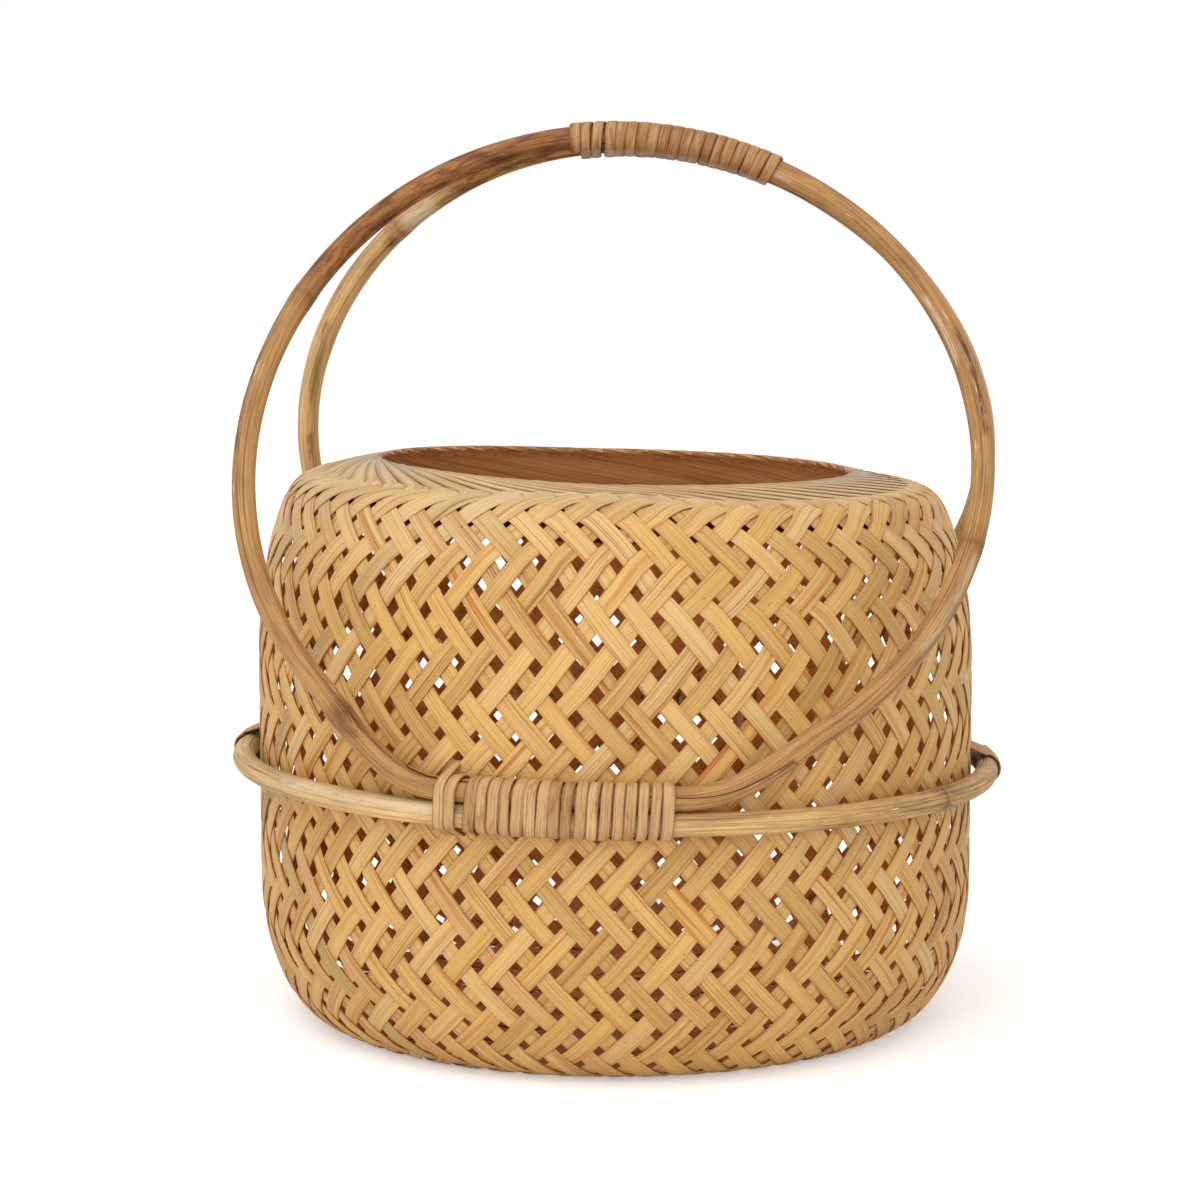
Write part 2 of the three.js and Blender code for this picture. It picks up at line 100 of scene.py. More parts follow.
LASHING_LENGTH = LASHING_TURNS * TURN_PITCH
# how far to either side of a turn a line's direction is taken
NUDGE = 0.002

# The weave: thirty strips each way across the base, which climb the wall as sixty each way. Its rows of
# crossings are counted from the middle of the base, and past the iris row the strips only lap
STRIPS_EACH_WAY = 30
BASE_PITCH = 10.56
ROW_DEPTH = BASE_PITCH / math.sqrt(2)
ROW_AZIMUTH = math.pi / (2 * STRIPS_EACH_WAY)
WEAVE_YAW = math.radians(3)
CORNER_ROW = STRIPS_EACH_WAY / 2
SQUARE_HALF = CORNER_ROW * ROW_DEPTH
LOW_ROW, LOW_ROW_HEIGHT = 20.5, 33.0
HIGH_ROW, HIGH_ROW_HEIGHT = 36.5, 167.4
IRIS_ROW = 43.5
LAST_CROSSING = IRIS_ROW - 1.5
WEAVE_DEPTH = 1.0
FOLD_RADIUS = 1.3
COLLAR_SAG = 13.0
COLLAR_LONGER_BEHIND = 22.0
MOUTH_RAISED = 2.4
PIECES_OF_WEAVE = 4

# The camera as it was solved: metres, radians, and millimetres for its lens and sensor
CAMERA_PLACE = (-0.006157, -1.2653, 0.3147)
CAMERA_TILT = 0.1182
CAMERA_LENS, CAMERA_SENSOR = 95.565, 36.0


def srgb(code):
    """A hex colour as linear red, green, blue and alpha."""
    value = np.array([int(code[i : i + 2], 16) for i in (1, 3, 5)]) / 255
    linear = np.where(value <= 0.04045, value / 12.92, ((value + 0.055) / 1.055) ** 2.4)
    return (*linear.tolist(), 1.0)


def ramp(x, start, end):
    """0 at start and before it, 1 at end and past it, level at both: with s the share of the way from one
    to the other, 3 s squared less 2 s cubed. It falls where end is less than start."""
    share = np.clip((x - start) / (end - start), 0, 1)
    return share * share * (3 - 2 * share)


def mix(a, b, share):
    """a where share is 0, b where it is 1, in proportion between."""
    return a + (b - a) * share


def unit(v):
    """Vectors along the last axis at length 1."""
    return v / np.linalg.norm(v, axis=-1, keepdims=True)


def dot(a, b):
    """The inner product along the last axis, which is kept."""
    return np.sum(a * b, axis=-1, keepdims=True)


def run_up(line):
    """The length along a line of points from its first one to each."""
    return np.concatenate([[0], np.cumsum(np.linalg.norm(np.diff(line, axis=0), axis=1))])


def leaned(x, z):
    """The basket settled lower on its +X side: z less x times the lean's slope, eased in over the foot."""
    return z - x * math.tan(BODY_LEAN) * ramp(z, 0, HOOP_HEIGHT)


def round_body(distance, radius, height):
    """A point at an azimuth of distance over the hoop's radius, at that radius and leaned height."""
    azimuth = distance / HOOP_RADIUS
    x = radius * np.sin(azimuth)
    return np.stack(np.broadcast_arrays(x, -radius * np.cos(azimuth), leaned(x, height)), -1)


def cubic(a, b, c, d, count):
    """A cubic curve from a to d pulled towards b and c: the Bernstein sum of the four points."""
    t = np.linspace(0, 1, count)[:, None]
    return a * (1 - t) ** 3 + 3 * b * t * (1 - t) ** 2 + 3 * c * t * t * (1 - t) + d * t**3


def wall_profile():
    """The line that the strips follow, from the middle of the base up the wall, over the mouth edge and back
    inside the collar, as lengths along it, radii, heights and outward normals. It is the body's outline set
    in by the weave's depth, then a half circle at the mouth, then the outline set in further, backwards,
    where the collar hangs away from the shoulder."""
    a = np.linspace(0, math.pi / 2, 40)
    foot = np.stack([BODY_RADIUS - FOOT_RUN + FOOT_RUN * np.sin(a), FOOT_RISE * (1 - np.cos(a))], 1)
    rise = (SHOULDER[1] - WALL_TOP) / 3
    turn_in = np.array([-math.sin(SHOULDER_TILT), math.cos(SHOULDER_TILT)])
    wall_end = np.array([BODY_RADIUS, WALL_TOP])
    upper = cubic(wall_end, wall_end + [0, rise], SHOULDER - turn_in * rise, SHOULDER, 30)
    ahead = turn_in * 0.75 * (CORNER[1] - SHOULDER[1])
    shoulder = cubic(SHOULDER, SHOULDER + ahead, CORNER + 0.25 * (CORNER - MOUTH), CORNER, 16)
    rim = np.linspace(CORNER, MOUTH + unit(CORNER - MOUTH) * (FOLD_RADIUS + 0.5), 14)
    base = np.linspace([0, 0], foot[0], 40)
    outline = np.concatenate([base[:-1], foot, upper, shoulder[1:], rim[1:]])
    along = unit(np.gradient(outline, axis=0))
    normal = np.stack([along[:, 1], -along[:, 0]], 1)
    outer = outline - normal * WEAVE_DEPTH
    turn = np.linspace(0, math.pi, 12)[1:-1, None]
    centre = outer[-1] - normal[-1] * FOLD_RADIUS
    fold_normal = normal[-1] * np.cos(turn) + along[-1] * np.sin(turn)
    fold = centre + FOLD_RADIUS * fold_normal
    # the collar follows the rim, the shoulder and the top of the wall, and hangs closer to the wall again
    back_points = len(rim) + len(shoulder) + 13
    keep = slice(None, -back_points - 1, -1)
    back = run_up(outline[keep])
    sag = COLLAR_SAG * ramp(back, 0, 18) * (1 - 0.6 * ramp(back, 24, 50))
    inner = outline[keep] - normal[keep] * (WEAVE_DEPTH + 2 * FOLD_RADIUS + sag)[:, None]
    line = np.concatenate([outer, fold, inner])
    length = run_up(line)
    return {
        "length": length,
        "radius": line[:, 0],
        "height": line[:, 1],
        "normal": np.concatenate([normal, fold_normal, -normal[keep]]),
        "rim": length[len(outer) + len(fold) // 2 - 1],
        "outer": slice(0, len(outer)),
    }


def row_lengths(profile):
    """How far up the profile each row of crossings lies, above the middle of a side of the base. A row rises
    half a diagonal of the base's pitch in the flat and a little more on the wall, where it passes two
    measured heights. At the mouth it rises by the strips' slope times their step round the mouth."""
    step = 0.1
    outer = profile["outer"]
    heights = (LOW_ROW_HEIGHT, HIGH_ROW_HEIGHT)
    low, high = np.interp(heights, profile["height"][outer], profile["length"][outer])
    top = high + (LAST_CROSSING - HIGH_ROW) * (high - low) / (HIGH_ROW - LOW_ROW)
    rows = np.arange(0, LAST_CROSSING + 0.01, step)
    known = [0, CORNER_ROW, LOW_ROW, HIGH_ROW, LAST_CROSSING]
    lengths = np.interp(rows, known, [0, SQUARE_HALF, low, high, top])
    # the bends between the known rows are rounded by a running mean of three rows
    half = 15
    weights = np.ones(2 * half + 1) / (2 * half + 1)
    lengths = np.convolve(np.pad(lengths, half, "reflect", reflect_type="odd"), weights, "valid")
    slopes_at = IRIS_ROW + np.array([-1.5, 0, 1.5, 3, 5.5, 8.5, 12, 80])
    slopes = np.radians([48, 33, 28, 28, 23, 17, 11, 11])
    rows, lengths = list(rows), list(lengths)
    while lengths[-1] < profile["rim"] + COLLAR_DEPTH + COLLAR_LONGER_BEHIND + 4:
        radius = np.interp(lengths[-1], profile["length"], profile["radius"])
        slope = math.tan(np.interp(rows[-1], slopes_at, slopes))
        rows.append(rows[-1] + step)
        lengths.append(lengths[-1] + step * radius * ROW_AZIMUTH * slope)
    return np.array(rows), np.array(lengths)


def weave_place(rows, lengths, sector, row, across):
    """Where a crossing row and a distance across its sector lie: azimuth, length up the profile. In the flat
    it is the plane point itself. On the foot and wall the azimuth is in proportion to the distance across
    and every row is level. Under the base one passes into the other, and the four corners close up."""
    # the distances from the middle of the base over which each change is made
    evens_out, levels_out, has_levelled = (45, 100), (52, 104), (168, 108)
    corner_dip = 8.0
    side = 2 * SQUARE_HALF
    deep = row * ROW_DEPTH
    sectors = np.where(row >= CORNER_ROW, np.round(across / side), 0)
    local = across - sectors * side
    widest = np.minimum(deep, SQUARE_HALF)
    flat = np.arctan2(local, deep) / np.arctan2(widest, deep)
    share = mix(flat, local / widest, ramp(deep, *evens_out))
    azimuth = sector + sectors * math.pi / 2 + (math.pi / 4) * share
    plane = np.hypot(deep, local) - deep
    level = corner_dip * (1 - np.cos(2 * math.pi * local / side)) / 2
    extra = mix(plane, level, ramp(deep, *levels_out)) * ramp(deep, *has_levelled)
    # towards the mouth the last bands were packed closer, highest in the middle of the front and lower to
    # the right: by rows past the iris row, how many millimetres higher
    seen = (np.degrees(azimuth + WEAVE_YAW) + 180) % 360 - 180
    middle = np.exp(-(((seen + 5) / 22) ** 2))
    right = ramp(seen, -2, 18) * ramp(seen, 150, 110)
    past = row - IRIS_ROW
    for share, at, higher in (
        (1.0, (-9.5, -5.5, -4.5, -3.5, -2.5, -1.5, 0), (0, 3, 2.8, 1.6, -0.4, -2.8, -1.5)),
        (middle, (-9.5, -5.5, -4.5, -1.5, 0), (0, 1, 3.4, 4, 8)),
        (right, (-9.5, -6.5, -5.5, -4.5, -1.5, 0), (0, 0, -3, -5.2, -5, -4)),
    ):
        extra += share * np.interp(past, at, higher) * ramp(past, 9, 0)
    # at the mouth the weave was twisted, so that strips leaning to the right lie down and the others stand up
    twist = math.radians(5) * ramp(past, -1.5, 2.5)
    return azimuth + WEAVE_YAW + twist, np.interp(row, rows, lengths) + extra


def strip_line(profile, rows, lengths, index, turned, rng):
    """One strip from the collar on one side across the base to the collar on the other: its azimuths,
    lengths up the profile, sway over and under, iris share and where it leans to the right. Its halves climb
    two sectors of the base and lean opposite ways."""
    offset = (index + 0.5 - STRIPS_EACH_WAY / 2) * BASE_PITCH
    start = abs(offset) / BASE_PITCH
    # strips that lean to the right end before the mouth's edge, and the others turn over it
    far = np.interp(profile["rim"] - 3, lengths, rows)
    sectors = {(1, True): 0, (1, False): 90, (-1, False): -90, (-1, True): 180}
    halves = []
    for way in (-1, 1):
        rising = way * offset > 0
        end = far if rising else rows[-1]
        iris_start, iris_end = IRIS_ROW + 1, IRIS_ROW + 14
        spans = ((start, iris_start, 0.25), (iris_start, min(end, iris_end), 0.5), (iris_end, end, 1.0))
        row = np.concatenate([np.arange(*span) for span in spans])
        across = (row * ROW_DEPTH - math.sqrt(2) * abs(offset)) * (1 if rising else -1)
        sector = math.radians(sectors[way, rising]) + turned
        azimuth, length = weave_place(rows, lengths, sector, row, across)
        behind = (1 - np.cos(azimuth)) / 2
        kept = length < profile["rim"] + COLLAR_DEPTH + rng.uniform(-7, 0) + COLLAR_LONGER_BEHIND * behind
        step = way * (row - start)
        halves.append([a[kept] for a in (row, azimuth, length, step, np.full(row.shape, rising))])
    row, azimuth, length, step, rising = (np.concatenate([a[:0:-1], b]) for a, b in zip(*halves))
    # over two crossings and under two, turning over between them
    knot = np.floor(step - 0.5) + 0.5
    signs = []
    for at in (knot, knot + 1):
        crossing = np.round(np.abs(at) + start)
        up = (np.sign(at) * offset > 0)
        over = np.where(up, np.isin(crossing % 4, (2, 3)), np.isin(crossing % 4, (0, 1)))
        over = np.where(crossing > IRIS_ROW, ~up, over)
        signs.append(np.where(over, 1.0, -1.0))
    sway = mix(signs[0], signs[1], ramp(step - knot, 0, 1))
    iris = ramp(row, IRIS_ROW, IRIS_ROW + 2)
    return {"azimuth": azimuth, "length": length, "sway": sway, "iris": iris, "rising": rising.astype(float)}


def strip_rings(profile, line, width, thickness, lift, tilt, rng):
    """The strip's sections along its line: flat bars with rounded edges. A point's distance across is turned
    into a length up the profile and an azimuth, and its height goes along the surface's normal there. In
    the iris round the mouth the bar is thinner and tilts, so that strips overlap."""
    def surface(length, azimuth):
        radius, height = (np.interp(length, profile["length"], profile[k]) for k in ("radius", "height"))
        nr, nz = (np.interp(length, profile["length"], profile["normal"][:, i]) for i in (0, 1))
        spoke = np.stack([np.sin(azimuth), -np.cos(azimuth)], -1)
        at = np.concatenate([spoke * radius[..., None], height[..., None]], -1)
        return at, unit(np.concatenate([spoke * nr[..., None], nz[..., None]], -1))

    azimuth, length, iris = line["azimuth"], line["length"], line["iris"][:, None]
    rising, past_rim = line["rising"][:, None], length - profile["rim"]
    centre, normal = surface(length, azimuth)
    flat_across = unit(np.cross(normal, unit(np.gradient(centre, axis=0))))
    t = run_up(centre)
    radius = np.maximum(np.hypot(centre[:, 0], centre[:, 1]), 1.0)
    round_step, up_step = radius * np.gradient(azimuth), np.gradient(length)
    step = np.hypot(round_step, up_step)
    round_share, up_share = (round_step / step)[:, None], (up_step / step)[:, None]
    # no strip is quite straight or even: three long waves move its middle and its width
    phases = rng.uniform(0, 2 * math.pi, (3, 2))
    waves = np.array([90.0, 47.0, 23.0])[:, None, None]
    swings = np.sin(2 * math.pi * t[None, :, None] / waves + phases[:, None, :]) * waves / 90
    wander = 0.16 * swings.sum(0)
    bar = np.array([
        (-0.94, 0.8), (-0.5, 1), (0.5, 1), (0.94, 0.8), (1, 0.0), (0.93, -1), (0, -1), (-0.93, -1), (-1, 0.0),
    ])
    # it is narrower at the four corners under the base, and wider across the base and towards the mouth
    corners = (1 - np.cos(4 * (azimuth - WEAVE_YAW))) / 2
    narrower = 0.3 * corners * ramp(length, 50, 80) * ramp(length, 150, 110)
    wider = 0.2 * ramp(length, 110, 80) + 0.34 * ramp(past_rim, -41, -30)
    uneven = 1 + 0.05 * np.sin(t / 31 + phases[0, 0]) + 0.06 * wander[:, 1]
    half = (width / 2 * uneven * (1 - narrower + wider))[:, None]
    sideways = bar[None, :, 0] * half + wander[:, :1] * (1 - 0.6 * iris)
    lifted = mix(line["sway"][:, None] * lift, np.where(rising > 0, -1.5, -0.25), iris)
    at_rim = ramp(np.abs(past_rim), 8, 0)[:, None]
    lean = -tilt * iris * (1 - 0.75 * at_rim) * np.sign(round_share) * (1 - rising) * bar[None, :, 0] * half
    out = lifted + bar[None, :, 1] * thickness / 2 * (1 - 0.65 * iris) + lean
    turned = azimuth[:, None] - sideways * up_share / radius[:, None]
    laid, laid_normal = surface(length[:, None] + sideways * round_share, turned)
    rings = laid + laid_normal * out[..., None]
    # in the flat of the base, where azimuths crowd, the section is laid straight across instead
    flat = centre[:, None] + flat_across[:, None] * sideways[..., None] + normal[:, None] * out[..., None]
    rings = np.where((length < 100)[:, None, None], flat, rings)
    rings[..., 2] = leaned(rings[..., 0], rings[..., 2])
    # the mouth was left a little high on its -X side
    rings[..., 2] += MOUTH_RAISED * ramp(past_rim, -45, -10)[:, None] * ramp(-rings[..., 0], 0, 100)
    place = np.stack(np.broadcast_arrays(t[:, None], bar[None, :, 0] * half, 0 * half), -1)
    return rings, place


def strip_finish(past_rim, iris, rings, place, width):
    """How much of each finish the points of a strip have, from the length past the mouth's edge: a painted
    brown shade on the inner face, cream towards the mouth and further down on the -X side, grey where hands
    rub the mouth's two sides, a painted shade with some grime on the edges where strips lap, and painted warm
    bounce light on the collar, which lies inside."""
    underside = np.array([0, 0, 0, 0, 0.4, 1, 1, 1, 0.4])[None]
    side, edge = np.abs(rings[..., 0]), np.abs(place[..., 1]) / (width / 2)
    outside = ramp(past_rim, 3, 0)
    reach = mix(42, 84, ramp(-rings[..., 0], 5, 70))
    # painted shade, with some grime, along the lapped edges of the strips, strongest round the mouth
    lap_shade_and_grime = mix(0.08, mix(0.62, 0.35, ramp(past_rim, 3, 8)), iris)
    return {
        # inner: where the inner faces get a painted brown shade, and the collar faintly
        "inner": np.maximum(underside * ramp(past_rim, 6, 0), 0.1 * ramp(past_rim, 0, 6)),
        "pale": 0.5 * outside * ramp(past_rim, -reach, -0.34 * reach),
        "rubbed": 0.55 * outside * ramp(past_rim, -15, -1) * ramp(side, 62, 88),
        "lap": lap_shade_and_grime * ramp(edge, 0.72, 0.97),
        # painted warm bounce light: the collar inside the mouth mixed towards a lighter orange
        "collar_bounce_light": 0.5 * ramp(past_rim, 0, 5) + 0 * underside,
    }


def tubes_mesh(name, tubes):
    """A mesh of closed tubes. A tube is its sections by points round each, and its attributes' values there.
    Quads join neighbouring sections and each end is closed by its own section."""
    points, quads, ends, start = [], [], [], 0
    for rings, _ in tubes:
        n, m = rings.shape[:2]
        i = np.arange(n - 1)[:, None] * m + start
        j = np.arange(m)[None, :]
        after = (j + 1) % m
        quads.append(np.stack([i + j, i + m + j, i + m + after, i + after], -1).reshape(-1, 4))
        ends.append(np.arange(m) + start)
        ends.append((np.arange(m) + start + (n - 1) * m)[::-1])
        points.append(rings.reshape(-1, 3))
        start += n * m
    mesh = bpy.data.meshes.new(name)
    faces = np.concatenate(quads).tolist() + [e.tolist() for e in ends]
    mesh.from_pydata((np.concatenate(points) * MM).tolist(), [], faces)
    for key in tubes[0][1]:
        values = [attributes[key] for _, attributes in tubes]
        kind, field = ("FLOAT_VECTOR", "vector") if values[0].ndim == 3 else ("FLOAT", "value")
        data = mesh.attributes.new(key, kind, "POINT")
        data.data.foreach_set(field, np.concatenate([v.ravel() for v in values]).astype(np.float32))
    mesh.polygons.foreach_set("use_smooth", np.ones(len(mesh.polygons), bool))
    mesh.set_sharp_from_angle(angle=math.radians(40))
    mesh.update()
    return mesh


def show(name, tubes, material, node):
    """Puts the tubes in the scene as one piece that rides on the root and stands for a CAD node."""
    mesh = tubes_mesh(name, tubes)
    mesh.materials.append(material)
    piece = bpy.data.objects.new(name, mesh)
    bpy.context.scene.collection.objects.link(piece)
    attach(piece, "root")
    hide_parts(node)


def ring_line(side, half_width, half_height, sag, shift):
    """The centre line of a handle ring, side 1 in front and -1 behind, as a function of the turn from its
    bottom. It is an oval that sags at its sides and sways at its top and bottom, leans over the mouth, is
    drawn to the other ring under the grip and is drawn on to the hoop at its bottom."""
    apart = side * CANE_SPACING / 2
    lean = math.asin((HOOP_RADIUS - CANE_SPACING / 2) / (2 * half_height))

    def line(turn):
        across = half_width * np.sin(turn) - RING_SWAY * np.cos(2 * turn)
        up = half_height * (1 - np.cos(turn)) - sag * (1 - np.cos(2 * turn))
        deep = side * (HOOP_RADIUS - up * math.sin(lean))
        from_grip = np.abs(across + shift - GRIP_MIDDLE) - GRIP_LENGTH / 2
        open_ = np.where(np.cos(turn) > 0, 1, ramp(from_grip, 0, BEND_LENGTH))
        y = -apart - (deep - apart) * open_
        x = across * math.cos(HANDLE_YAW) - y * math.sin(HANDLE_YAW) + shift
        y = across * math.sin(HANDLE_YAW) + y * math.cos(HANDLE_YAW)
        radius = np.hypot(x, y)
        azimuth = np.arctan2(side * x, -side * y)
        from_binding = np.abs(azimuth - BINDING_AZIMUTH) * HOOP_RADIUS
        free = ramp(np.hypot(from_binding, up) - BINDING_LENGTH / 2, 0, BEND_LENGTH)
        scale = (HOOP_RADIUS + (radius - HOOP_RADIUS) * free) / radius
        x, y = x * scale, y * scale
        seat = SEAT_HEIGHT - x * math.tan(BODY_LEAN) * (1 - free)
        return np.stack([x, y, seat + up * math.cos(lean) * free], -1)

    return line


FRONT_RING = ring_line(1, FRONT_HALF_WIDTH, FRONT_HALF_HEIGHT, FRONT_SAG, FRONT_SHIFT)
REAR_RING = ring_line(-1, REAR_HALF_WIDTH, REAR_HALF_HEIGHT, REAR_SAG, REAR_SHIFT)


def hoop_line(turn):
    """The girdle hoop's centre line: a level circle round the leaned wall, from its back."""
    return round_body((turn + math.pi) * HOOP_RADIUS, HOOP_RADIUS, HOOP_HEIGHT)


def scarfed_cane(line, ring_radius, nodes, browned, marks, rng):
    """A round cane along a closed line: its sections and their attributes. Its ends overlap round turn 0: the
    first keeps the inner side of the bend, above a flat cut that sinks along the scarf, and the last keeps
    the outer side below it. The radius swells at each node's turn and wavers a little. browned is how brown
    the cane is at least and at most, and between which turns it is at most. A mark is its first and last
    turn, its angle round the cane, its spread and its strength, negative where the skin has cracked."""
    half_turn = SCARF_LENGTH / 2 / ring_radius
    reach = CANE_RADIUS - SCARF_TIP
    uncut = 2 * CANE_RADIUS
    turn = np.linspace(-half_turn, 2 * math.pi + half_turn, 620)
    centre = line(turn)
    along = unit(line(turn + NUDGE) - line(turn - NUDGE))
    middle = (line(np.array(0.0)) + line(np.array(math.pi))) / 2
    inward = middle - centre
    inward = unit(inward - dot(inward, along) * along)
    across = np.cross(along, inward)

    def cut(t):
        return reach - (t + half_turn) / (2 * half_turn) * (2 * reach - SCARF_GAP)

    low = np.where(turn < half_turn, cut(turn), -uncut)[:, None]
    high = np.where(turn > 2 * math.pi - half_turn, cut(turn - 2 * math.pi) - SCARF_GAP, uncut)[:, None]
    t = run_up(centre)
    swell, knot = np.zeros_like(t), np.zeros_like(t)
    for node in nodes:
        gap = np.abs(t - np.interp(node, turn, t))
        swell += 0.32 * np.exp(-((gap / 4.5) ** 2)) - 0.12 * np.exp(-((gap / 1.2) ** 2))
        for strength, reached in ((0.9, 1.3), (0.5, 6)):
            knot = np.maximum(knot, strength * np.exp(-((gap / reached) ** 2)))
    phase = rng.uniform(0, 2 * math.pi, 3)
    waver = 0.05 * (np.sin(t / 17 + phase[0]) + np.sin(t / 41 + phase[1]) + np.sin(t / 7 + phase[2]) * 0.5)
    angle = np.linspace(0, 2 * math.pi, 28, endpoint=False)[None, :]
    radius = (CANE_RADIUS - 0.06 + swell + waver)[:, None]
    x, y = radius * np.cos(angle), np.clip(radius * np.sin(angle), low, high)
    rings = centre[:, None] + across[:, None] * x[..., None] + inward[:, None] * y[..., None]
    place = np.stack(np.broadcast_arrays(t[:, None], x, y), -1)
    least, most, first, last = browned
    brown = mix(least, most, ramp(turn, first, first + 0.12) * ramp(turn, last, last - 0.12))
    wear_and_highlight, cracked = np.zeros_like(x), np.zeros_like(x)
    for first, last, towards, spread, strength in marks:
        aside = (angle - towards + math.pi) % (2 * math.pi) - math.pi
        along_it = ramp(turn, first, first + 0.03) * ramp(turn, last, last - 0.03)
        patch = strength * np.exp(-((aside / spread) ** 2)) * along_it[:, None]
        wear_and_highlight, cracked = np.maximum(wear_and_highlight, patch), np.maximum(cracked, -patch)
    knot, brown = (np.broadcast_to(v[:, None], x.shape) for v in (knot, brown))
    return rings, {"cane_place": place, "knot": knot, "browned": brown, "wear_and_highlight": wear_and_highlight, "cracked": cracked}


def belt(pins):
    """The line of a tight strand round pins, anticlockwise, each an x outwards, a y up and a radius: on each
    pin an arc from the normal of the straight before it to the normal of the straight after it. Returns
    its points and its outward normals."""
    def normal_to(p, q):
        between = (q[0] - p[0], q[1] - p[1])
        return math.atan2(between[1], between[0]) - math.acos((p[2] - q[2]) / math.hypot(*between))

    points, outs = [], []
    for i, pin in enumerate(pins):
        start = normal_to(pins[i - 1], pin)
        sweep = (normal_to(pin, pins[(i + 1) % len(pins)]) - start) % (2 * math.pi)
        # an arc has 20 points round a cane and 5 in a slot
        count = 20 if pin[2] > CORNER_BEND else 5
        a = start + sweep * np.linspace(0, 1, count)
        out = np.stack([np.cos(a), np.sin(a)], 1)
        points.append(np.array(pin[:2]) + out * pin[2])
        outs.append(out)
    points, outs = np.concatenate(points), np.concatenate(outs)
    # the straights get points of their own, 1.5 mm apart, so that the strand's slant along them is even
    counts = [max(1, int(gap / 1.5)) for gap in np.linalg.norm(np.roll(points, -1, 0) - points, axis=1)]
    shares = [np.arange(count)[:, None] / count for count in counts]

    def spread(v):
        return np.concatenate([mix(p, q, share) for p, q, share in zip(v, np.roll(v, -1, 0), shares)])

    return spread(points), unit(spread(outs))


SPLIT_BAR = np.array([
    (-0.97, 0.15), (-0.8, 0.75), (-0.4, 1.05), (0.4, 1.05),
    (0.8, 0.75), (0.97, 0.15), (0.92, -0.8), (-0.92, -0.8),
])[::-1]


def wound_strand(runs, start, place, width, thickness, rng, skip, extra):
    """One flat strand wound on in one length. A run is a number of turns, their length and their pins at a
    distance. A turn goes once round its belt while its distance grows evenly, and differs a little in width,
    place and height. The first turn lacks the share skip of itself, and the last is followed by the share
    extra of one more, so that both ends are tucked in. place puts a distance, an outward and an upward size
    in space. The section is a flat bar with a domed outer face."""
    turns = []
    at = start
    for count, length, pins in runs:
        pitch = length / count
        for _ in range(count):
            line, out = belt(pins(at + pitch / 2))
            share = np.arange(len(line)) / len(line)
            turns.append((line, out, at + pitch * share, len(turns) + share))
            at += pitch
    more = int(len(line) * extra)
    turns.append([v[:more] for v in (line, out, at + pitch * share, len(turns) + share)])
    skipped = int(len(turns[0][0]) * skip)
    line, out, distance, turn = (np.concatenate(v)[skipped:] for v in zip(*turns))
    jitter = rng.uniform(-1, 1, (len(turns) + 3, 4))
    jitter[:3] *= 0.3
    wider, aside, tone, higher = (np.interp(turn, np.arange(len(jitter)), column) for column in jitter.T)
    line = line + out * (0.12 + 0.12 * higher)[:, None]
    w, t = SPLIT_BAR.T
    middle = distance + 0.4 * aside + 0.12 * np.sin(turn * 9.1)
    d = middle[:, None] + w * (width / 2 * (1 + 0.13 * wider))[:, None]
    x, y = (line[:, i, None] + t * thickness / 2 * out[:, i, None] for i in (0, 1))
    rings = place(d, x, y)
    where = np.stack(np.broadcast_arrays(run_up(rings.mean(1))[:, None], w * width / 2, 0 * t), -1)
    tone = np.broadcast_to((0.5 + 0.5 * tone)[:, None], d.shape)
    return rings, {"strand_place": where, "strand_tone": tone}


SEAT_PIN = (HOOP_RADIUS, SEAT_HEIGHT, WINDING_RADIUS)
HOOP_PIN = (HOOP_RADIUS, HOOP_HEIGHT, WINDING_RADIUS)
SLOT_X = BODY_RADIUS - WALL_THICKNESS - SEAT_GAP - STRAND_ROOM / 2 + CORNER_BEND
LOW_SLOT = (SLOT_X, HOOP_HEIGHT - CANE_RADIUS - SLOT_STAND_OFF, CORNER_BEND)
HOOP_SLOT = (SLOT_X, HOOP_HEIGHT + CANE_RADIUS + SLOT_STAND_OFF, CORNER_BEND)
SEAT_SLOT = (SLOT_X, SEAT_HEIGHT + CANE_RADIUS + SLOT_STAND_OFF, CORNER_BEND)


def ring_binding(azimuth, width, thickness, rng):
    """The strand that binds a ring to the hoop: hitch turns that go through the wall, then close turns."""
    runs = [
        (HITCH_TURNS, HITCH_LENGTH, lambda d: [SEAT_PIN, SEAT_SLOT, LOW_SLOT, HOOP_PIN]),
        (1, TURN_PITCH + HITCH_SPACE, lambda d: [SEAT_PIN, HOOP_PIN]),
        (BINDING_TURNS - 1, (BINDING_TURNS - 1) * TURN_PITCH, lambda d: [SEAT_PIN, HOOP_PIN]),
    ]
    starts_before = 1.4
    start = azimuth * HOOP_RADIUS - BINDING_LENGTH / 2 - starts_before
    return wound_strand(runs, start, round_body, width, thickness, rng, skip=0.36, extra=0.5)


def side_lashing(azimuth, width, thickness, rng):
    """The strand that ties the hoop to the wall, round the hoop and through the wall above and below it."""
    runs = [(LASHING_TURNS, LASHING_LENGTH, lambda d: [HOOP_PIN, HOOP_SLOT, LOW_SLOT])]
    start = azimuth * HOOP_RADIUS - (LASHING_LENGTH + TURN_PITCH) / 2
    return wound_strand(runs, start, round_body, width, thickness, rng, skip=0.42, extra=0.42)


def grip_frame(distance):
    """The middle of the pair of rings at a distance from their apex, with the directions out to the front and
    up at right angles to it, and the front ring's offset from the middle."""
    turn = math.pi - distance / FRONT_HALF_WIDTH
    turns = (turn, turn - NUDGE, turn + NUDGE)
    middle, ahead, behind = ((FRONT_RING(t) + REAR_RING(t)) / 2 for t in turns)
    along = unit(ahead - behind)
    out = unit(np.cross(along, np.array([0, 0, 1.0])))
    return middle, out, np.cross(out, along), FRONT_RING(turn) - middle


